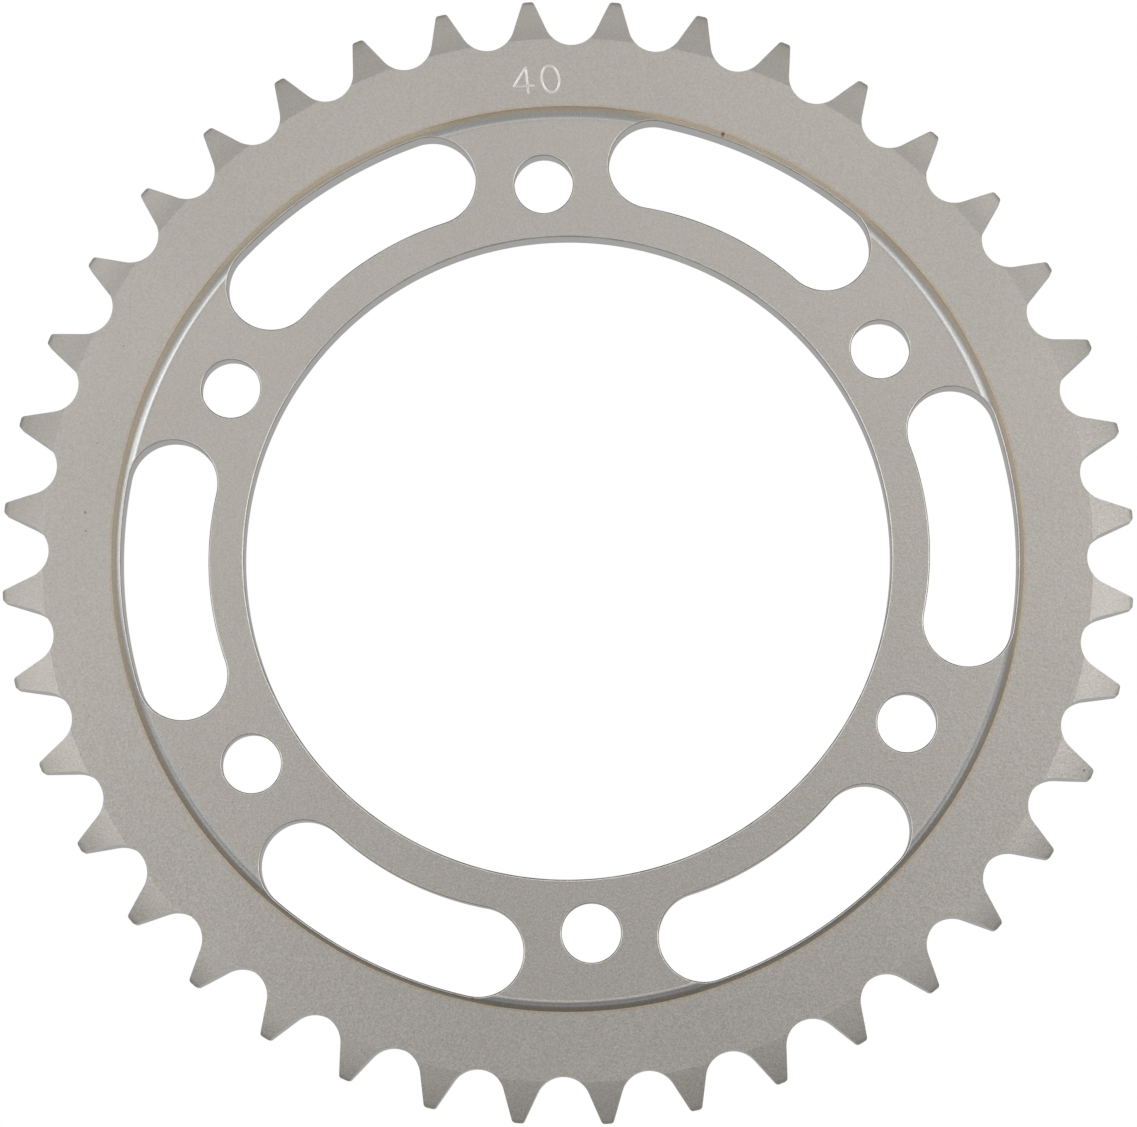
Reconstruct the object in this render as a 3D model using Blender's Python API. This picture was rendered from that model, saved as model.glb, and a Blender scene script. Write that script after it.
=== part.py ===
"""Rear sprocket for a motorcycle.

It is one steel plate with 40 teeth, a turned recess, six bolt holes and six slots. The plate lies on its flat
back face. +Z is the wheel's axis and points out of the recessed front face, the origin is the centre of the
bore on the back face, and +Y runs through the centre of one bolt hole. Lengths in the constants are in
millimetres and angles in degrees. Angles round the plate are taken clockwise from +Y, seen from the front.
"""

import math

import bmesh
import bpy
from mathutils import Vector

MM = 0.001

# Chain: 5/8 inch pitch with 10.16 mm rollers.
CHAIN_PITCH = 15.875
ROLLER_D = 10.16

# Teeth. The seat is the arc that a roller sits in, and the flanks run straight from it to the tip.
TEETH = 40
SEAT_R = 0.507 * ROLLER_D
FLANK_ANGLE = 24.4  # between a flank and the centre line of its gap
TIP_R = 104.9
TIP_ROUND = 0.7
TOOTH_LEAD = -0.38  # from the bolt hole on +Y to the nearest tooth's centre line

# The sides of the teeth curve in from the flat rim, and thin each tooth towards its tip.
SIDE_START_R = 97.2
SIDE_START_TILT = 8.0
SIDE_RELIEF = 0.13 * CHAIN_PITCH  # how far each side has come in at the tip

# Plate.
THICKNESS = 8.7
BORE_R = 60.0
BORE_EDGE_BREAK = 0.3
RECESS_R = 84.35
RECESS_DEPTH = 2.3
RECESS_CORNER_R = 2.2

# Bolt holes and slots, each six times round the plate. The slots are centred between the holes.
REPEATS = 6
BOLT_CIRCLE_R = 70.0
BOLT_HOLE_R = 5.45
SLOT_INNER_R = 67.05
SLOT_OUTER_R = 83.3
SLOT_END_TURN = 13.8  # from a slot's middle to the centre of its round end
SLOT_BOW = 10.0  # from the bore's centre outwards to the centre of a slot's inner arc

# Fineness of the round surfaces.
TURNED_STEPS = 160
SEAT_STEPS = 6
TIP_STEPS = 2
SIDE_STEPS = 2
CORNER_STEPS = 3
HOLE_STEPS = 24
SLOT_END_STEPS = 10
SLOT_ARC_STEPS = 10

PITCH_R = CHAIN_PITCH / 2 / math.sin(math.pi / TEETH)
OVERSHOOT = 5.0  # how far a cutter runs past the surface that it cuts


def polar(radius, clockwise):
    """A point at this radius and this angle in degrees, clockwise from +Y."""
    turn = math.radians(clockwise)
    return Vector((radius * math.sin(turn), radius * math.cos(turn)))


def arc(centre, radius, start, end, steps):
    """The points of an arc about centre. start and end are in degrees, clockwise from +Y."""
    return [centre + polar(radius, start + (end - start) * i / steps) for i in range(steps + 1)]


def turned(points, clockwise):
    """The points turned about the origin by this angle in degrees."""
    turn = math.radians(clockwise)
    cos, sin = math.cos(turn), math.sin(turn)
    return [Vector((p.x * cos + p.y * sin, p.y * cos - p.x * sin)) for p in points]


def new_object(name, mesh_builder):
    """An object whose mesh the builder fills. The faces point out."""
    bm = bmesh.new()
    mesh_builder(bm)
    bmesh.ops.recalc_face_normals(bm, faces=bm.faces)
    mesh = bpy.data.meshes.new(name)
    bm.to_mesh(mesh)
    bm.free()
    obj = bpy.data.objects.new(name, mesh)
    bpy.context.scene.collection.objects.link(obj)
    return obj


def extrude_outline(bm, points, low, high):
    """A prism on the closed outline, from height low to height high."""
    corners = [bm.verts.new((p.x * MM, p.y * MM, low * MM)) for p in points]
    base = bm.faces.new(corners)
    top = bmesh.ops.extrude_face_region(bm, geom=[base])["geom"]
    moved = [item for item in top if isinstance(item, bmesh.types.BMVert)]
    bmesh.ops.translate(bm, verts=moved, vec=(0, 0, (high - low) * MM))


def tooth_side():
    """The teeth's front side as (radius, height) points: an arc from the rim, then straight past the tips."""
    run = TIP_R - SIDE_START_R
    chord_tilt = math.degrees(math.atan2(SIDE_RELIEF, run))
    half_sweep = chord_tilt - SIDE_START_TILT
    end_tilt = chord_tilt + half_sweep
    side_r = math.hypot(run, SIDE_RELIEF) / 2 / math.sin(math.radians(half_sweep))
    centre = Vector((SIDE_START_R, THICKNESS)) - polar(side_r, SIDE_START_TILT)
    side = arc(centre, side_r, SIDE_START_TILT, end_tilt, SIDE_STEPS)
    return [*side, side[-1] + polar(OVERSHOOT, end_tilt + 90)]


def plate_profile():
    """The plate's cross-section as (radius, height) points, before the teeth, holes and slots are cut."""
    web_z = THICKNESS - RECESS_DEPTH
    corner_centre = Vector((RECESS_R - RECESS_CORNER_R, web_z + RECESS_CORNER_R))
    recess_corner = arc(corner_centre, RECESS_CORNER_R, 180, 90, CORNER_STEPS)
    front_side = tooth_side()
    back_side = [Vector((p.x, THICKNESS - p.y)) for p in reversed(front_side)]
    return [
        Vector((BORE_R, BORE_EDGE_BREAK)),
        Vector((BORE_R, web_z - BORE_EDGE_BREAK)),
        Vector((BORE_R + BORE_EDGE_BREAK, web_z)),
        *recess_corner,
        Vector((RECESS_R, THICKNESS)),
        *front_side,
        *back_side,
        Vector((BORE_R + BORE_EDGE_BREAK, 0.0)),
    ]


def turned_plate(bm):
    """The plate's cross-section spun round the axis."""
    profile = [bm.verts.new((p.x * MM, 0, p.y * MM)) for p in plate_profile()]
    loop = [bm.edges.new((a, b)) for a, b in zip(profile, profile[1:] + profile[:1])]
    bmesh.ops.spin(
        bm,
        geom=profile + loop,
        cent=(0, 0, 0),
        axis=(0, 0, 1),
        angle=2 * math.pi,
        steps=TURNED_STEPS,
        use_merge=True,
    )


def tooth_gap():
    """The outline from the middle of one tooth to the middle of the next, round a gap centred on +Y."""
    seat_turn = 90 - FLANK_ANGLE
    seat_centre = Vector((0, PITCH_R))
    seat = arc(seat_centre, SEAT_R, 180 + seat_turn, 180 - seat_turn, SEAT_STEPS)
    # The right flank, from the end of the seat outwards, up to the round on the tip.
    along = Vector((math.sin(math.radians(FLANK_ANGLE)), math.cos(math.radians(FLANK_ANGLE))))
    outwards = Vector((along.y, -along.x))  # from the gap into the tooth
    round_r = TIP_R - TIP_ROUND
    line = seat[-1] + outwards * TIP_ROUND
    reach = -line.dot(along) + math.sqrt(line.dot(along) ** 2 - line.length_squared + round_r**2)
    round_centre = line + along * reach
    from_flank = FLANK_ANGLE - 90
    to_tip = math.degrees(math.atan2(round_centre.x, round_centre.y))
    tip = arc(round_centre, TIP_ROUND, from_flank, to_tip, TIP_STEPS)
    mirrored = [Vector((-p.x, p.y)) for p in reversed(tip)]
    return mirrored + seat + tip


def toothed_prism(bm):
    """The outline of the teeth, as a prism that is thicker than the plate."""
    outline = []
    for tooth in range(TEETH):
        outline += turned(tooth_gap(), TOOTH_LEAD + (tooth + 0.5) * 360 / TEETH)
    extrude_outline(bm, outline, -OVERSHOOT, THICKNESS + OVERSHOOT)


def slot_outline():
    """A curved slot centred on +Y, of four arcs that run into each other: an outer, an inner and two ends."""
    bow_centre = Vector((0, SLOT_BOW))
    bow_r = SLOT_INNER_R - SLOT_BOW
    # The round end touches the outer arc from inside and the inner arc from outside.
    outer_end = polar(SLOT_OUTER_R, SLOT_END_TURN)
    to_end = polar(1, SLOT_END_TURN)
    from_bow = outer_end - bow_centre
    end_r = (from_bow.length_squared - bow_r**2) / 2 / (bow_r + from_bow.dot(to_end))
    end_centre = outer_end - to_end * end_r
    bow_turn = math.degrees(math.atan2(end_centre.x, end_centre.y - SLOT_BOW))
    right = arc(end_centre, end_r, SLOT_END_TURN, 180 + bow_turn, SLOT_END_STEPS)
    left = [Vector((-p.x, p.y)) for p in reversed(right)]
    outer = arc(Vector((0, 0)), SLOT_OUTER_R, -SLOT_END_TURN, SLOT_END_TURN, SLOT_ARC_STEPS)
    inner = arc(bow_centre, bow_r, bow_turn, -bow_turn, SLOT_ARC_STEPS)
    return outer[1:-1] + right + inner[1:-1] + left


def slots_and_holes(bm):
    """The six slots and the six bolt holes, as prisms that run past both faces."""
    hole = arc(Vector((0, BOLT_CIRCLE_R)), BOLT_HOLE_R, 0, 360, HOLE_STEPS)[:-1]
    for repeat in range(REPEATS):
        at_hole = repeat * 360 / REPEATS
        at_slot = at_hole + 180 / REPEATS
        extrude_outline(bm, turned(hole, at_hole), -OVERSHOOT, THICKNESS + OVERSHOOT)
        extrude_outline(bm, turned(slot_outline(), at_slot), -OVERSHOOT, THICKNESS + OVERSHOOT)


def combine(body, tool, operation):
    """Applies a Boolean of the tool to the body, and removes the tool."""
    modifier = body.modifiers.new("cut", "BOOLEAN")
    modifier.operation = operation
    modifier.solver = "EXACT"
    modifier.object = tool
    graph = bpy.context.evaluated_depsgraph_get()
    body.data = bpy.data.meshes.new_from_object(body.evaluated_get(graph))
    body.modifiers.clear()
    bpy.data.objects.remove(tool)


def zinc_grey_steel():
    """Bead-blasted steel with a thin grey plating."""
    material = bpy.data.materials.new("zinc_grey_steel")
    material.use_nodes = True
    shader = material.node_tree.nodes["Principled BSDF"]
    shader.inputs["Base Color"].default_value = (0.40, 0.39, 0.36, 1)
    shader.inputs["Metallic"].default_value = 0.9
    shader.inputs["Roughness"].default_value = 0.5
    return material


def main():
    for obj in list(bpy.data.objects):
        bpy.data.objects.remove(obj)
    sprocket = new_object("sprocket", turned_plate)
    combine(sprocket, new_object("tooth_outline", toothed_prism), "INTERSECT")
    combine(sprocket, new_object("slots_and_holes", slots_and_holes), "DIFFERENCE")
    sprocket.data.name = "sprocket"
    sprocket.data.shade_smooth()
    sprocket.data.set_sharp_from_angle(angle=math.radians(25))
    sprocket.data.materials.clear()
    sprocket.data.materials.append(zinc_grey_steel())


main()
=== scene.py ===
"""Looks of the rear sprocket: a fine mesh in place of the CAD plate, blasted steel, and a white studio.

The row frame's origin is the centre of the bore on the plate's back face, +Z points out of the recessed
front and +Y runs through one bolt hole. Lengths in the constants are in millimetres and angles in degrees,
unless they say otherwise. Angles round the plate are taken clockwise from +Y, seen from the front.
"""

import math

import bmesh
import bpy
from mathutils import Matrix, Vector


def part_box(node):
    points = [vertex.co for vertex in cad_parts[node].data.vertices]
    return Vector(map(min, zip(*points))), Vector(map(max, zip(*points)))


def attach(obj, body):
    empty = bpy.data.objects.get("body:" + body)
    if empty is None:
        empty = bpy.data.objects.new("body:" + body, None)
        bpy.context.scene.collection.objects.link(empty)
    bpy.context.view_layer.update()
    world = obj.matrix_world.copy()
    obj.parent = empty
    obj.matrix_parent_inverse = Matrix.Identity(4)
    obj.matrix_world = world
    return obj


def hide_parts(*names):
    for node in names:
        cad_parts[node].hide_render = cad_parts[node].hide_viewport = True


MM = 0.001
NODE = "sprocket"

# Chain and teeth, as in the CAD.
CHAIN_PITCH = 15.875
ROLLER_D = 10.16
TEETH = 40
SEAT_R = 0.507 * ROLLER_D
FLANK_ANGLE = 24.4  # between a flank and the centre line of its gap
TIP_ROUND = 0.7
TOOTH_LEAD = -0.38  # from the bolt hole on +Y to the nearest tooth's centre line
SIDE_START_R = 97.2  # where the curved side of the teeth starts
SIDE_START_TILT = 8.0
SIDE_RELIEF = 0.13 * CHAIN_PITCH  # how much thinner each side is at the tip

# Plate, as in the CAD.
BORE_R = 60.0
RECESS_R = 84.35
RECESS_DEPTH = 2.3
RECESS_CORNER_R = 2.2

# Bolt holes and slots, as in the CAD.
REPEATS = 6
BOLT_CIRCLE_R = 70.0
BOLT_HOLE_R = 5.45
SLOT_INNER_R = 67.05
SLOT_OUTER_R = 83.3
SLOT_END_TURN = 13.8  # from a slot's middle to the centre of its round end
SLOT_BOW = 10.0  # from the bore's centre outwards to the centre of a slot's inner arc

# How far each opening of the real plate is off its nominal place: (turn in degrees, shift outwards).
HOLE_ERRORS = ((0.05, 0.15), (0.1, -0.15), (0.1, -0.05), (0.05, -0.05), (0.2, -0.1), (0.35, 0.1))
SLOT_ERRORS = ((-0.35, 0.45), (-0.6, 0.15), (0.25, -0.2), (0.05, 0.0), (0.25, -0.45), (0.1, 0.1))
HOLE_FLARE = 0.25  # how much wider a bolt hole is at the back

# Fine shapes, which only the visual mesh has.
EDGE_BREAK = 0.12  # on the teeth's edges and the recess's rim
BROKEN_ANGLE = 40.0  # edges sharper than this are broken
SHARP_ANGLE = 20.0  # and edges flatter than this are shaded smooth
BORE_EDGE_R = 0.35
CUT_EDGE_R = 0.30  # rolled edge of the slots and the bolt holes
TOOL_LINE_WIDTH = 0.14  # left by the turning tool where the recess's round corner meets the web
TOOL_LINE_DEPTH = 0.008

# The stamped tooth count, beside the hole on +Y. The strokes of the 4 are from end to end.
STROKE_R = 0.24
STROKE_LIFT = 0.08  # from the rim's face up to the middle of the round punch
FOUR_STROKES = (
    ((-1.92, 92.05), (-4.32, 88.59)),
    ((-4.32, 88.59), (-0.62, 88.53)),
    ((-1.83, 91.55), (-1.67, 87.20)),
)
ZERO_CENTRE = (2.63, 89.57)
ZERO_HALF_WIDTH = 1.62
ZERO_HALF_HEIGHT = 2.54
ZERO_TILT = -7.0

# Fineness of the round surfaces.
TURNED_STEPS = 360
SEAT_STEPS = 20
TIP_STEPS = 6
SIDE_STEPS = 10
CORNER_STEPS = 14
EDGE_STEPS = 6
HOLE_STEPS = 72
SLOT_END_STEPS = 36
SLOT_ARC_STEPS = 40
STROKE_SIDES = 24
STROKE_END_STEPS = 4
ZERO_STEPS = 64

PITCH_R = CHAIN_PITCH / 2 / math.sin(math.pi / TEETH)
OVERSHOOT = 5.0  # how far a cutter runs past the surface that it cuts
CLEARANCE = 0.003  # keeps a cutter's corners off the faces that it cuts

# Steel. Colours are linear.
WARM_FACE_COLOUR = (0.504, 0.476, 0.430, 1)
COOL_FACE_COLOUR = (0.496, 0.476, 0.446, 1)
WALL_COLOUR = (0.48, 0.48, 0.47, 1)  # the gentle foot of the recess's wall
STEEP_COLOUR = (0.78, 0.68, 0.54, 1)  # the steep upper part of the recess's wall
CUT_COLOUR = (0.80, 0.80, 0.79, 1)  # the walls of the bore, the holes, the slots and the tooth gaps
BARE_COLOUR = (0.96, 0.94, 0.90, 1)  # the stamped strokes and the front edges of the tooth gaps
ROLLED_COLOUR = (0.52, 0.45, 0.37, 1)  # the rolled edges of the bore, the holes and the slots
ROLLED_EDGE_PAINTED_SHADE_COLOUR = (0.22, 0.18, 0.14, 1)  # painted shade: those edges darkened where they face +Y
TAN_COLOUR = (0.50, 0.43, 0.34, 1)  # the rim of the recess
RUST_COLOUR = (0.30, 0.15, 0.05, 1)
TOP_CORNER_PAINTED_LIGHT = 1.22  # painted light: how bright the recess's corner is painted towards +Y
LOW_CORNER_PAINTED_SHADE = 0.52  # painted shade: how dark the recess's corner is painted towards -Y
LEFT_RING_PAINTED_HIGHLIGHT = 0.75  # painted highlight: how much brighter the ring in the recess's corner is painted towards -X
RIGHT_RING_PAINTED_HIGHLIGHT = 0.25  # and towards +X
# painted shade: how dark the outer part of the teeth's tips is painted
TIP_PAINTED_SHADE = 0.9
NICK_SHADE = 0.45
FACE_ROUGHNESS = 0.38
WALL_ROUGHNESS = 0.30
STEEP_ROUGHNESS = 0.55
GRAIN_DEPTH = 0.03  # of the blasting
RING_DEPTH = 0.004  # of the turned rings
TOP_SPECK_CONTRAST = 0.50  # of the fine specks in the colour, towards +Y
LOW_SPECK_CONTRAST = 0.85  # and towards -Y

# Patterns: lumps or rings in a millimetre.
CLOUDS_PER_MM = 0.035
PATCHES_PER_MM = 0.25
WARMTH_PER_MM = 0.9
GRAIN_PER_MM = 1.5
RAGGED_PER_MM = 2.5
RINGS_PER_MM = 3.0
SPECKS_PER_MM = 3.4

# Marks: x, y and size.
RUST_SPOTS = ((34.1, 77.1, 0.5), (-22.6, -80.5, 0.35))
NICKS = (
    (-88.6, 13.7, 0.35),
    (-88.7, 10.2, 0.25),
    (-85.7, 26.5, 0.2),
    (-78.2, 51.6, 0.2),
    (-79.8, 44.4, 0.2),
    (20.3, -85.5, 0.2),
    (83.5, -36.3, 0.2),
    (92.3, -46.0, 0.35),
)

# Light: a light table under the plate, a white room, and three rings of square softboxes over the plate,
# open towards -Y. The floor's reach and the softboxes' sizes and distance are in metres.
FLOOR_GAP = 0.2  # from the plate's back face down to the light table, in millimetres
FLOOR_REACH = 6.0  # from its middle to its edge
ROOM_LIGHT = 0.43
SOFTBOX_DISTANCE = 0.8
SOFTBOX_RINGS = (
    # tilt off the plate's axis, size, then (clockwise from +Y, watts) of each
    (20, 0.18, ((270, 0.13), (315, 0.11), (0, 0.10), (45, 0.13), (90, 0.10))),
    (33, 0.22, ((225, 0.11), (270, 0.21), (90, 0.26), (135, 0.07))),
    (52, 0.30, ((270, 0.26), (315, 0.26), (0, 0.18), (45, 0.26), (90, 0.33))),
)

# Camera, in the photograph's pose. The focal length goes with the width of the frame.
FRAME_WIDTH_PX = 1137
FOCAL_PX = 5200.0
SENSOR_WIDTH = 36.0
CAMERA_PLACE = (6.34, -118.79, 962.55)
# The camera looks down and is then turned about its own axes, in this order.
CAMERA_TURNS = ((-3.75, "Z"), (6.957, "X"), (0.825, "Y"), (-0.025, "Z"))


def polar(radius, clockwise):
    """A point at this radius and this angle in degrees, clockwise from +Y."""
    turn = math.radians(clockwise)
    return Vector((radius * math.sin(turn), radius * math.cos(turn)))


def arc(centre, radius, start, end, steps):
    """The points of an arc about centre. start and end are in degrees, clockwise from +Y."""
    return [centre + polar(radius, start + (end - start) * i / steps) for i in range(steps + 1)]


def turned(points, clockwise):
    """The points turned about the origin by this angle in degrees."""
    turn = math.radians(clockwise)
    cos, sin = math.cos(turn), math.sin(turn)
    return [Vector((p.x * cos + p.y * sin, p.y * cos - p.x * sin)) for p in points]


def new_object(name, mesh_builder, *details):
    """An object whose mesh the builder fills. The faces point out."""
    bm = bmesh.new()
    mesh_builder(bm, *details)
    bmesh.ops.recalc_face_normals(bm, faces=bm.faces)
    mesh = bpy.data.meshes.new(name)
    bm.to_mesh(mesh)
    bm.free()
    obj = bpy.data.objects.new(name, mesh)
    bpy.context.scene.collection.objects.link(obj)
    return obj


def skin_outlines(bm, levels):
    """A closed solid through a stack of (height, points) outlines, which all have as many points."""
    rings = [[bm.verts.new((p.x * MM, p.y * MM, z * MM)) for p in points] for z, points in levels]
    bm.faces.new(rings[0])
    bm.faces.new(rings[-1])
    for low, high in zip(rings, rings[1:]):
        for i, vert in enumerate(low):
            j = (i + 1) % len(low)
            bm.faces.new((vert, low[j], high[j], high[i]))


def tooth_side(thickness, tip_r):
    """The teeth's front side as (radius, height) points: an arc from the rim, then a line past the tips."""
    run = tip_r - SIDE_START_R
    chord_tilt = math.degrees(math.atan2(SIDE_RELIEF, run))
    half_sweep = chord_tilt - SIDE_START_TILT
    end_tilt = chord_tilt + half_sweep
    side_r = math.hypot(run, SIDE_RELIEF) / 2 / math.sin(math.radians(half_sweep))
    centre = Vector((SIDE_START_R, thickness)) - polar(side_r, SIDE_START_TILT)
    side = arc(centre, side_r, SIDE_START_TILT, end_tilt, SIDE_STEPS)
    return [*side, side[-1] + polar(OVERSHOOT, end_tilt + 90)]


def plate_profile(thickness, tip_r):
    """The plate's cross-section as (radius, height) points, before the teeth, holes and slots are cut."""
    web_z = thickness - RECESS_DEPTH
    bore_x = BORE_R + BORE_EDGE_R
    bore_low = arc(Vector((bore_x, BORE_EDGE_R)), BORE_EDGE_R, 180, 270, EDGE_STEPS)
    bore_high = arc(Vector((bore_x, web_z - BORE_EDGE_R)), BORE_EDGE_R, 270, 360, EDGE_STEPS)
    corner_centre = Vector((RECESS_R - RECESS_CORNER_R, web_z + RECESS_CORNER_R))
    recess_corner = arc(corner_centre, RECESS_CORNER_R, 180, 90, CORNER_STEPS)
    corner_start = recess_corner[0]
    tool_line = [
        corner_start - Vector((TOOL_LINE_WIDTH, 0)),
        corner_start - Vector((TOOL_LINE_WIDTH / 2, TOOL_LINE_DEPTH)),
    ]
    front = tooth_side(thickness, tip_r)
    back = [Vector((p.x, thickness - p.y)) for p in reversed(front)]
    rim_edge = Vector((RECESS_R, thickness))
    return [*bore_low, *bore_high, *tool_line, *recess_corner, rim_edge, *front, *back]


def turned_plate(bm, profile):
    """The plate's cross-section spun round the axis."""
    verts = [bm.verts.new((p.x * MM, 0, p.y * MM)) for p in profile]
    loop = [bm.edges.new((a, b)) for a, b in zip(verts, verts[1:] + verts[:1])]
    bmesh.ops.spin(
        bm,
        geom=verts + loop,
        cent=(0, 0, 0),
        axis=(0, 0, 1),
        angle=2 * math.pi,
        steps=TURNED_STEPS,
        use_merge=True,
    )


def tooth_gap(tip_r):
    """The outline from the middle of one tooth to the middle of the next, round a gap centred on +Y."""
    seat_turn = 90 - FLANK_ANGLE
    seat_centre = Vector((0, PITCH_R))
    seat = arc(seat_centre, SEAT_R, 180 + seat_turn, 180 - seat_turn, SEAT_STEPS)
    # The right flank, from the end of the seat outwards, up to the round on the tip.
    along = Vector((math.sin(math.radians(FLANK_ANGLE)), math.cos(math.radians(FLANK_ANGLE))))
    outwards = Vector((along.y, -along.x))  # from the gap into the tooth
    round_r = tip_r - TIP_ROUND
    line = seat[-1] + outwards * TIP_ROUND
    reach = -line.dot(along) + math.sqrt(line.dot(along) ** 2 - line.length_squared + round_r**2)
    round_centre = line + along * reach
    from_flank = FLANK_ANGLE - 90
    to_tip = math.degrees(math.atan2(round_centre.x, round_centre.y))
    tip = arc(round_centre, TIP_ROUND, from_flank, to_tip, TIP_STEPS)
    mirrored = [Vector((-p.x, p.y)) for p in reversed(tip)]
    return mirrored + seat + tip


def tooth_outline(tip_r):
    """The outline of all the teeth."""
    outline = []
    for tooth in range(TEETH):
        outline += turned(tooth_gap(tip_r), TOOTH_LEAD + (tooth + 0.5) * 360 / TEETH)
    return outline


def slot_outline(grow):
    """A curved slot centred on +Y, grown by this much all round, of four arcs that run into each other."""
    bow_centre = Vector((0, SLOT_BOW))
    bow_r = SLOT_INNER_R - SLOT_BOW
    # The round end touches the outer arc from inside and the inner arc from outside.
    outer_end = polar(SLOT_OUTER_R, SLOT_END_TURN)
    to_end = polar(1, SLOT_END_TURN)
    from_bow = outer_end - bow_centre
    end_r = (from_bow.length_squared - bow_r**2) / 2 / (bow_r + from_bow.dot(to_end))
    end_centre = outer_end - to_end * end_r
    bow_turn = math.degrees(math.atan2(end_centre.x, end_centre.y - SLOT_BOW))
    right = arc(end_centre, end_r + grow, SLOT_END_TURN, 180 + bow_turn, SLOT_END_STEPS)
    left = [Vector((-p.x, p.y)) for p in reversed(right)]
    outer = arc(Vector((0, 0)), SLOT_OUTER_R + grow, -SLOT_END_TURN, SLOT_END_TURN, SLOT_ARC_STEPS)
    inner = arc(bow_centre, bow_r - grow, bow_turn, -bow_turn, SLOT_ARC_STEPS)
    return outer[1:-1] + right + inner[1:-1] + left


def hole_outline(grow):
    """A bolt hole on +Y, grown by this much."""
    return arc(Vector((0, BOLT_CIRCLE_R)), BOLT_HOLE_R + grow, 0, 360, HOLE_STEPS)[:-1]


def rolled_cut(outline, web_z, top_z, flare):
    """The (height, points) levels of a cutter that leaves round edges at the web's front and back faces."""
    levels = [(-OVERSHOOT, CUT_EDGE_R + flare)]
    for step in range(EDGE_STEPS + 1):
        roll = polar(CUT_EDGE_R, 90 * step / EDGE_STEPS)
        levels.append((CUT_EDGE_R - CLEARANCE - roll.y, CUT_EDGE_R - roll.x + flare))
    for step in range(EDGE_STEPS + 1):
        roll = polar(CUT_EDGE_R, 90 * step / EDGE_STEPS)
        levels.append((web_z - CUT_EDGE_R + CLEARANCE + roll.x, CUT_EDGE_R - roll.y))
    levels.append((top_z, CUT_EDGE_R))
    return [(z, outline(grow)) for z, grow in levels]


def placed(levels, clockwise, error):
    """The levels of a cutter on +Y, turned to this angle round the plate and moved by its small error."""
    turn, shift = error
    outwards = Vector((0, shift))
    return [(z, turned([p + outwards for p in points], clockwise + turn)) for z, points in levels]


def slots_and_holes(bm, thickness):
    """The six slots and the six bolt holes, as cutters that run past both faces."""
    web_z = thickness - RECESS_DEPTH
    hole = rolled_cut(hole_outline, web_z, thickness + OVERSHOOT, HOLE_FLARE)
    slot = rolled_cut(slot_outline, web_z, thickness + OVERSHOOT, 0.0)
    for repeat in range(REPEATS):
        at_hole = repeat * 360 / REPEATS
        skin_outlines(bm, placed(hole, at_hole, HOLE_ERRORS[repeat]))
        skin_outlines(bm, placed(slot, at_hole + 180 / REPEATS, SLOT_ERRORS[repeat]))


def punch_ring(bm, centre, across, radius, height):
    """One ring of a round punch stroke: a circle that stands upright, square to the stroke's direction."""
    ring = []
    for side in range(STROKE_SIDES):
        p = polar(radius, 360 * side / STROKE_SIDES)
        place = centre + across * p.x
        ring.append(bm.verts.new((place.x * MM, place.y * MM, (height + p.y) * MM)))
    return ring


def join_rings(bm, one, other):
    """The faces between two rings of a punch stroke."""
    for side in range(STROKE_SIDES):
        after = (side + 1) % STROKE_SIDES
        bm.faces.new((one[side], one[after], other[after], other[side]))


def straight_punch(bm, stroke, height):
    """A round bar with round ends, along one straight stroke."""
    start, end = (Vector(p) for p in stroke)
    along = (end - start).normalized()
    across = Vector((along.y, -along.x))
    rings = []
    for step in range(1, STROKE_END_STEPS + 1):
        turn = math.radians(90 * step / STROKE_END_STEPS)
        place = start - along * STROKE_R * math.cos(turn)
        rings.append(punch_ring(bm, place, across, STROKE_R * math.sin(turn), height))
    for step in range(STROKE_END_STEPS, 0, -1):
        turn = math.radians(90 * step / STROKE_END_STEPS)
        place = end + along * STROKE_R * math.cos(turn)
        rings.append(punch_ring(bm, place, across, STROKE_R * math.sin(turn), height))
    bm.faces.new(rings[0])
    bm.faces.new(rings[-1])
    for one, other in zip(rings, rings[1:]):
        join_rings(bm, one, other)


def oval_punch(bm, height):
    """A round bar bent to the oval of a zero."""
    rings = []
    for step in range(ZERO_STEPS):
        turn = 2 * math.pi * step / ZERO_STEPS
        place = Vector((ZERO_HALF_WIDTH * math.sin(turn), ZERO_HALF_HEIGHT * math.cos(turn)))
        outwards = Vector((ZERO_HALF_HEIGHT * math.sin(turn), ZERO_HALF_WIDTH * math.cos(turn))).normalized()
        place, outwards = turned([place, outwards], ZERO_TILT)
        rings.append(punch_ring(bm, Vector(ZERO_CENTRE) + place, outwards, STROKE_R, height))
    for one, other in zip(rings, rings[1:] + rings[:1]):
        join_rings(bm, one, other)


def stamp_tooth_count(plate, thickness):
    """Presses the number 40 into the rim."""
    height = thickness + STROKE_LIFT
    for stroke in FOUR_STROKES:
        combine(plate, new_object("punch", straight_punch, stroke, height), "DIFFERENCE")
    combine(plate, new_object("punch", oval_punch, height), "DIFFERENCE")


def combine(body, tool, operation):
    """Applies a Boolean of the tool to the body, and removes the tool."""
    modifier = body.modifiers.new("cut", "BOOLEAN")
    modifier.operation = operation
    modifier.solver = "EXACT"
    modifier.object = tool
    apply_modifiers(body)
    bpy.data.objects.remove(tool)


def apply_modifiers(obj):
    """Makes the object's modifiers part of its mesh."""
    graph = bpy.context.evaluated_depsgraph_get()
    obj.data = bpy.data.meshes.new_from_object(obj.evaluated_get(graph))
    obj.modifiers.clear()


def shade(mesh):
    """Smooth round surfaces and truly flat faces."""
    mesh.shade_smooth()
    mesh.set_sharp_from_angle(angle=math.radians(SHARP_ANGLE))
    for face in mesh.polygons:
        if abs(face.normal.z) > 0.99999:
            face.use_smooth = False


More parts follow.
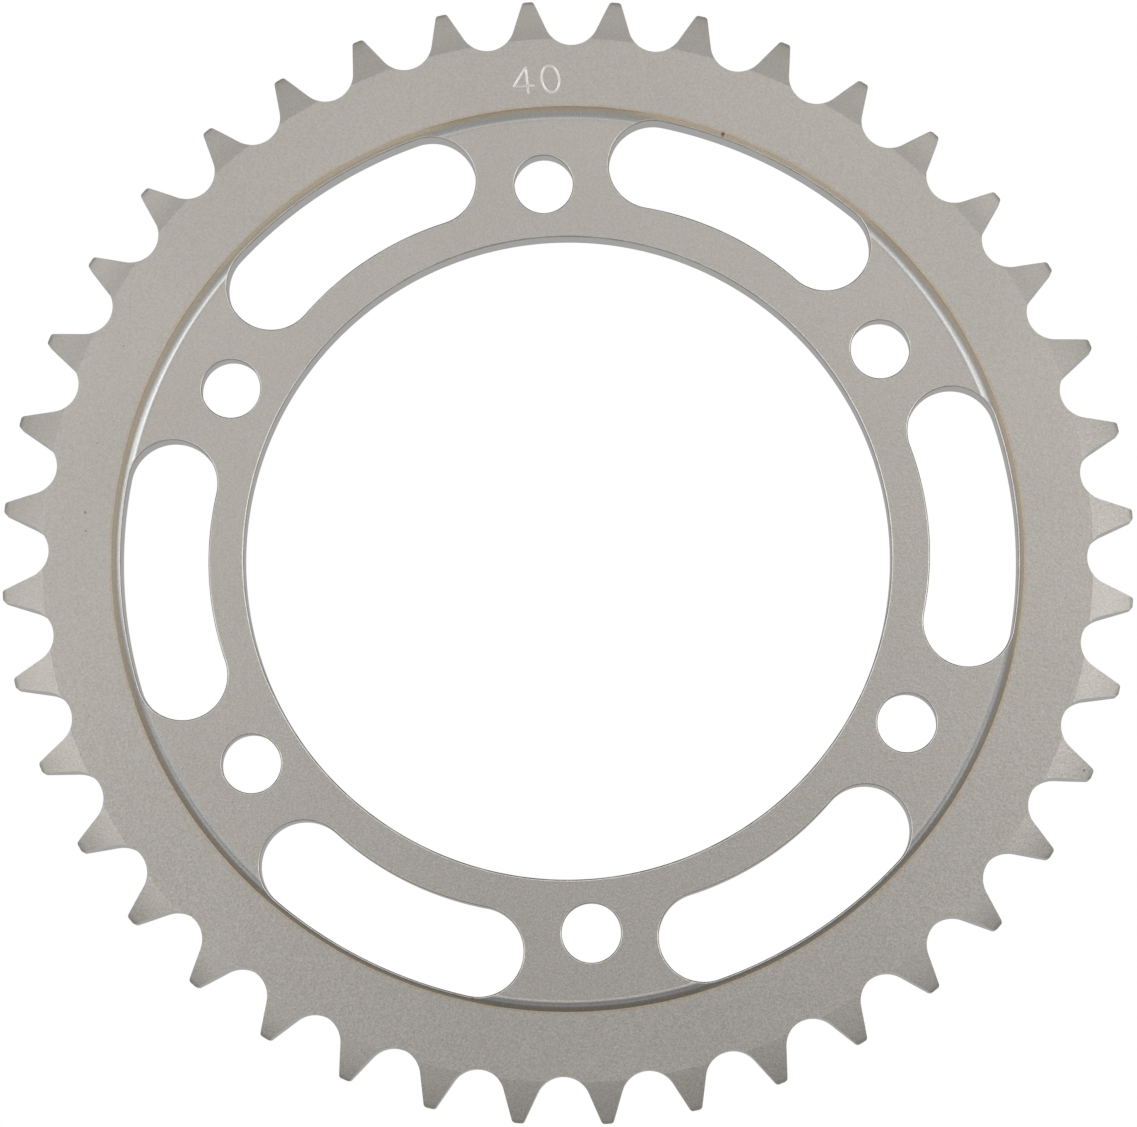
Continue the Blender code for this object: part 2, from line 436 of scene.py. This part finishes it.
def sprocket_plate(thickness, tip_r):
    """The whole plate: turned, toothed, with its edges broken, then slotted and drilled."""
    plate = new_object("sprocket_plate", turned_plate, plate_profile(thickness, tip_r))
    outline = tooth_outline(tip_r)
    teeth = new_object("teeth", skin_outlines, [(-OVERSHOOT, outline), (thickness + OVERSHOOT, outline)])
    combine(plate, teeth, "INTERSECT")
    edges = plate.modifiers.new("edge_break", "BEVEL")
    edges.limit_method = "ANGLE"
    edges.angle_limit = math.radians(BROKEN_ANGLE)
    edges.width = EDGE_BREAK * MM
    edges.segments = 2
    apply_modifiers(plate)
    combine(plate, new_object("slots_and_holes", slots_and_holes, thickness), "DIFFERENCE")
    stamp_tooth_count(plate, thickness)
    shade(plate.data)
    return plate


def add(tree, kind, *values, **settings):
    """A node of this kind. The values fill its inputs in order. A socket is linked, and None is skipped."""
    node = tree.nodes.new(kind)
    for name, value in settings.items():
        setattr(node, name, value)
    for socket, value in zip(node.inputs, values):
        if isinstance(value, bpy.types.NodeSocket):
            tree.links.new(value, socket)
        elif value is not None:
            socket.default_value = value
    return node.outputs[0]


def maths(tree, operation, *values):
    """A number worked out from others."""
    return add(tree, "ShaderNodeMath", *values, operation=operation)


def both(tree, one, other):
    """One mask, or a number, times another mask."""
    return maths(tree, "MULTIPLY", one, other)


def ramp_up(tree, value, low, high):
    """0 below low, 1 above high and a smooth step between them. With low above high, it falls instead."""
    return add(tree, "ShaderNodeMapRange", value, low, high, 0.0, 1.0, interpolation_type="SMOOTHSTEP")


def noise(tree, place, per_mm):
    """Noise from 0 to 1 with about this many lumps in a millimetre."""
    return add(tree, "ShaderNodeTexNoise", place, None, per_mm)


def between(tree, factor, low, high):
    """A number that goes from low to high as the factor goes from 0 to 1."""
    return add(tree, "ShaderNodeMapRange", factor, 0.0, 1.0, low, high)


def mix(tree, factor, one, other):
    """A colour between two colours."""
    node = tree.nodes.new("ShaderNodeMix")
    node.data_type = "RGBA"
    for socket, value in ((node.inputs[0], factor), (node.inputs[6], one), (node.inputs[7], other)):
        if isinstance(value, bpy.types.NodeSocket):
            tree.links.new(value, socket)
        else:
            socket.default_value = value
    return node.outputs[2]


def scaled(tree, colour, factor):
    """A colour times a number."""
    node = tree.nodes.new("ShaderNodeVectorMath")
    node.operation = "SCALE"
    tree.links.new(colour, node.inputs[0])
    tree.links.new(factor, node.inputs["Scale"])
    return node.outputs[0]


class Surface:
    """Where a point is, in millimetres in the row frame, and which way it faces, as node sockets."""

    def __init__(self, tree):
        coordinates = tree.nodes.new("ShaderNodeTexCoord")
        mapping = tree.nodes.new("ShaderNodeMapping")
        mapping.inputs["Scale"].default_value = (1 / MM, 1 / MM, 1 / MM)
        tree.links.new(coordinates.outputs["Object"], mapping.inputs["Vector"])
        self.place = mapping.outputs[0]
        split = tree.nodes.new("ShaderNodeSeparateXYZ")
        tree.links.new(self.place, split.inputs[0])
        self.x, self.y, self.z = split.outputs
        y_squared = maths(tree, "POWER", self.y, 2.0)
        self.radius = maths(tree, "SQRT", maths(tree, "ADD", maths(tree, "POWER", self.x, 2.0), y_squared))
        geometry = tree.nodes.new("ShaderNodeNewGeometry")
        facing = tree.nodes.new("ShaderNodeSeparateXYZ")
        tree.links.new(geometry.outputs["Normal"], facing.inputs[0])
        self.facing_y = facing.outputs[1]
        self.upright = maths(tree, "ABSOLUTE", facing.outputs[2])


class Regions:
    """Masks of the plate's regions, each from 0 to 1, as node sockets."""

    def __init__(self, tree, surface, thickness, tip_r):
        web_z = thickness - RECESS_DEPTH
        foot_r = RECESS_R - RECESS_CORNER_R  # where the recess's round corner leaves the web
        self.low_half = ramp_up(tree, surface.y, 40.0, -100.0)

        # The blasting reached every flat face and the sides of the teeth.
        flat = ramp_up(tree, surface.upright, 0.985, 0.998)
        past_rim = ramp_up(tree, surface.radius, SIDE_START_R - 0.3, SIDE_START_R + 0.1)
        tooth_sides = both(tree, past_rim, ramp_up(tree, surface.upright, 0.6, 0.85))
        self.blasted = maths(tree, "MAXIMUM", flat, tooth_sides)
        # the teeth's tips, where shade is painted
        self.tips = ramp_up(tree, surface.radius, tip_r - 1.0, tip_r - 0.4)

        # The turned corner of the recess: all of it, its steep upper part, its rim, and a ring near its foot
        # that shows in the half towards +Y, where a highlight is painted.
        above_web = ramp_up(tree, surface.z, web_z, web_z + 0.04)
        self.recess = both(tree, above_web, ramp_up(tree, surface.radius, RECESS_R + 0.55, RECESS_R + 0.35))
        self.steep = both(tree, self.recess, ramp_up(tree, surface.upright, 0.9, 0.4))
        self.recess_rim = both(tree, self.recess, ramp_up(tree, surface.z, thickness - 0.3, thickness - 0.1))
        ring_start = ramp_up(tree, surface.radius, foot_r + 0.15, foot_r + 0.35)
        ring_end = ramp_up(tree, surface.radius, foot_r + 0.75, foot_r + 0.55)
        ring = both(tree, both(tree, ring_start, ring_end), self.recess)
        self.highlight_ring = both(tree, ring, ramp_up(tree, surface.y, 0.0, 35.0))

        # Bare metal: the stamped strokes and the upper edge of the tooth gaps.
        near_front = ramp_up(tree, surface.z, thickness - 0.5, thickness - 0.4)
        near_rim = both(tree, ramp_up(tree, surface.radius, RECESS_R + 0.85, RECESS_R + 1.25), near_front)
        self.bare = maths(tree, "SUBTRACT", near_rim, self.blasted)

        # The rolled edges: what is not above the web's front face, and neither a flat face nor a wall.
        below_web = ramp_up(tree, surface.z, web_z + 0.02, web_z - 0.02)
        not_wall = ramp_up(tree, surface.upright, 0.2, 0.4)
        not_flat = ramp_up(tree, surface.upright, 0.99, 0.9)
        self.rolled = both(tree, below_web, both(tree, not_wall, not_flat))


def mark(tree, surface, x, y, size):
    """1 in a ragged spot at this point of the plate, fading to 0 at about this distance from it."""
    place = add(tree, "ShaderNodeCombineXYZ", surface.x, surface.y, 0.0)
    distance = tree.nodes.new("ShaderNodeVectorMath")
    distance.operation = "DISTANCE"
    distance.inputs[1].default_value = (x, y, 0)
    tree.links.new(place, distance.inputs[0])
    raggedness = noise(tree, surface.place, RAGGED_PER_MM)
    ragged = maths(tree, "MULTIPLY_ADD", raggedness, size, distance.outputs["Value"])
    return ramp_up(tree, ragged, 1.5 * size, 0.6 * size)


def all_marks(tree, surface, marks):
    """The strongest of the marks at each point."""
    strongest = 0.0
    for x, y, size in marks:
        strongest = maths(tree, "MAXIMUM", mark(tree, surface, x, y, size), strongest)
    return strongest


def wall_colour(tree, regions):
    """The cut walls, and the recess's corner, which is brown where it is steep, with painted light towards
    +Y and painted shade towards -Y.
    """
    corner = mix(tree, regions.steep, WALL_COLOUR, STEEP_COLOUR)
    # painted light and shade: the corner is brightened towards +Y and darkened towards -Y
    corner = scaled(tree, corner, between(tree, regions.low_half, TOP_CORNER_PAINTED_LIGHT, LOW_CORNER_PAINTED_SHADE))
    return mix(tree, regions.recess, CUT_COLOUR, corner)


def tinted(tree, surface, regions, colour):
    """The colour with tan along the recess's rim, brown rolled edges with painted shade where they face +Y,
    bare metal and rust on top.
    """
    patchy = ramp_up(tree, noise(tree, surface.place, PATCHES_PER_MM), 0.35, 0.6)
    rim = both(tree, regions.recess_rim, between(tree, patchy, 0.5, 1.0))
    colour = mix(tree, rim, colour, TAN_COLOUR)
    # painted shade: the brown rolled edges are painted dark where they face +Y
    rolled_tint_and_painted_shade = mix(tree, ramp_up(tree, surface.facing_y, 0.1, 0.4), ROLLED_COLOUR, ROLLED_EDGE_PAINTED_SHADE_COLOUR)
    rolled = both(tree, regions.rolled, between(tree, patchy, 0.6, 1.0))
    colour = mix(tree, rolled, colour, rolled_tint_and_painted_shade)
    colour = mix(tree, regions.bare, colour, BARE_COLOUR)
    return mix(tree, all_marks(tree, surface, RUST_SPOTS), colour, RUST_COLOUR)


def brightness(tree, surface, regions):
    """Factors that lighten or darken the colour: clouds, specks, a painted highlight on the recess's ring,
    painted shade on the teeth's tips, and nicks.
    """
    clouds = between(tree, noise(tree, surface.place, CLOUDS_PER_MM), 0.95, 1.05)
    speck = maths(tree, "SUBTRACT", noise(tree, surface.place, SPECKS_PER_MM), 0.5)
    speck_contrast = between(tree, regions.low_half, TOP_SPECK_CONTRAST, LOW_SPECK_CONTRAST)
    specks = maths(tree, "MULTIPLY_ADD", speck, speck_contrast, 1.0)
    # painted highlight: the ring near the recess's foot is brightened, more towards -X
    highlight_strength = between(tree, ramp_up(tree, surface.x, -10.0, -60.0), RIGHT_RING_PAINTED_HIGHLIGHT, LEFT_RING_PAINTED_HIGHLIGHT)
    painted_ring_highlight = maths(tree, "MULTIPLY_ADD", regions.highlight_ring, highlight_strength, 1.0)
    # painted shade: the teeth's tips are darkened
    painted_tip_shade = between(tree, regions.tips, 1.0, TIP_PAINTED_SHADE)
    nicks = between(tree, all_marks(tree, surface, NICKS), 1.0, NICK_SHADE)
    return clouds, specks, painted_ring_highlight, painted_tip_shade, nicks


def relief(tree, surface, regions, thickness):
    """Height in units of GRAIN_DEPTH: blasted grain, faint on walls, and turned rings except on the rim."""
    grain = both(tree, noise(tree, surface.place, GRAIN_PER_MM), between(tree, regions.blasted, 0.15, 1.0))
    ring_place = add(tree, "ShaderNodeCombineXYZ", surface.radius, 0.0, 0.0)
    off_rim = ramp_up(tree, surface.z, thickness - 0.02, thickness - 0.1)
    rings = both(tree, noise(tree, ring_place, RINGS_PER_MM), off_rim)
    return maths(tree, "MULTIPLY_ADD", rings, RING_DEPTH / GRAIN_DEPTH, grain)


def blasted_steel(thickness, tip_r):
    """Bead-blasted, thinly plated steel, with smoother turned and cut walls, tan edges and a few marks."""
    material = bpy.data.materials.new("blasted_steel")
    material.use_nodes = True
    tree = material.node_tree
    shader = tree.nodes["Principled BSDF"]
    surface = Surface(tree)
    regions = Regions(tree, surface, thickness, tip_r)

    warmth = ramp_up(tree, noise(tree, surface.place, WARMTH_PER_MM), 0.25, 0.75)
    face_colour = mix(tree, warmth, COOL_FACE_COLOUR, WARM_FACE_COLOUR)
    colour = mix(tree, regions.blasted, wall_colour(tree, regions), face_colour)
    colour = tinted(tree, surface, regions, colour)
    for factor in brightness(tree, surface, regions):
        colour = scaled(tree, colour, factor)
    tree.links.new(colour, shader.inputs["Base Color"])

    wall_rough = between(tree, regions.steep, WALL_ROUGHNESS, STEEP_ROUGHNESS)
    rough = maths(tree, "MAXIMUM", wall_rough, between(tree, regions.blasted, 0.0, FACE_ROUGHNESS))
    tree.links.new(rough, shader.inputs["Roughness"])
    shader.inputs["Metallic"].default_value = 1.0

    bump = tree.nodes.new("ShaderNodeBump")
    bump.inputs["Strength"].default_value = 1.0
    bump.inputs["Distance"].default_value = GRAIN_DEPTH * MM
    tree.links.new(relief(tree, surface, regions, thickness), bump.inputs["Height"])
    tree.links.new(bump.outputs[0], shader.inputs["Normal"])
    return material


def light_table():
    """A sheet that shines white."""
    material = bpy.data.materials.new("light_table")
    material.use_nodes = True
    tree = material.node_tree
    tree.nodes.clear()
    emission = tree.nodes.new("ShaderNodeEmission")
    emission.inputs["Strength"].default_value = 1.0
    output = tree.nodes.new("ShaderNodeOutputMaterial")
    tree.links.new(emission.outputs[0], output.inputs["Surface"])
    return material


def floor_sheet(bm):
    """One square face about the origin."""
    bmesh.ops.create_grid(bm, x_segments=1, y_segments=1, size=FLOOR_REACH)


def softbox(name, clockwise, tilt, watts, size):
    """A square soft light aimed at the plate, this far clockwise from +Y and tilted off the axis."""
    data = bpy.data.lights.new(name, "AREA")
    data.shape = "SQUARE"
    data.size = size
    data.energy = watts
    light = bpy.data.objects.new(name, data)
    out = polar(math.sin(math.radians(tilt)), clockwise)
    direction = Vector((out.x, out.y, math.cos(math.radians(tilt))))
    facing = direction.to_track_quat("Z", "Y").to_matrix().to_4x4()
    light.matrix_world = Matrix.Translation(direction * SOFTBOX_DISTANCE) @ facing
    light.visible_camera = False
    bpy.context.scene.collection.objects.link(light)


def studio():
    """A light table under the plate, a white room with softboxes, and a view transform for plain colours."""
    floor = new_object("floor", floor_sheet)
    floor.location = (0, 0, -FLOOR_GAP * MM)
    floor.data.materials.append(light_table())
    floor.visible_glossy = False  # the walls of the openings reflect the room instead
    world = bpy.data.worlds.new("white_room")
    world.use_nodes = True
    world.node_tree.nodes["Background"].inputs["Color"].default_value = (1, 1, 1, 1)
    world.node_tree.nodes["Background"].inputs["Strength"].default_value = ROOM_LIGHT
    bpy.context.scene.world = world
    for tilt, size, boxes in SOFTBOX_RINGS:
        for clockwise, watts in boxes:
            softbox(f"softbox_{tilt}_{clockwise}", clockwise, tilt, watts, size)
    bpy.context.scene.view_settings.view_transform = "Standard"


def camera():
    """The camera at the photograph's place and focal length."""
    data = bpy.data.cameras.new("camera")
    data.sensor_fit = "HORIZONTAL"
    data.sensor_width = SENSOR_WIDTH
    data.lens = FOCAL_PX / FRAME_WIDTH_PX * SENSOR_WIDTH
    data.clip_start = 0.01
    data.clip_end = 100.0
    obj = bpy.data.objects.new("camera", data)
    matrix = Matrix.Translation(Vector(CAMERA_PLACE) * MM)
    for angle, axis in CAMERA_TURNS:
        matrix = matrix @ Matrix.Rotation(math.radians(angle), 4, axis)
    obj.matrix_world = matrix
    bpy.context.scene.collection.objects.link(obj)
    bpy.context.scene.camera = obj


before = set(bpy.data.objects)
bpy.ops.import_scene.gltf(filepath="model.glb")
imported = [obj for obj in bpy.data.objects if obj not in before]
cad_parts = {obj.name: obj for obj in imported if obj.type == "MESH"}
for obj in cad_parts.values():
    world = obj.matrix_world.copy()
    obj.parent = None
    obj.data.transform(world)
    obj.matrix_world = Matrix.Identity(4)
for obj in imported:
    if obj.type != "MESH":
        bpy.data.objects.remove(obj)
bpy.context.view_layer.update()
low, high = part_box(NODE)
thickness = (high.z - low.z) / MM
tip_r = high.x / MM
plate = sprocket_plate(thickness, tip_r)
plate.data.materials.clear()
plate.data.materials.append(blasted_steel(thickness, tip_r))
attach(plate, "root")
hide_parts(NODE)
studio()
camera()
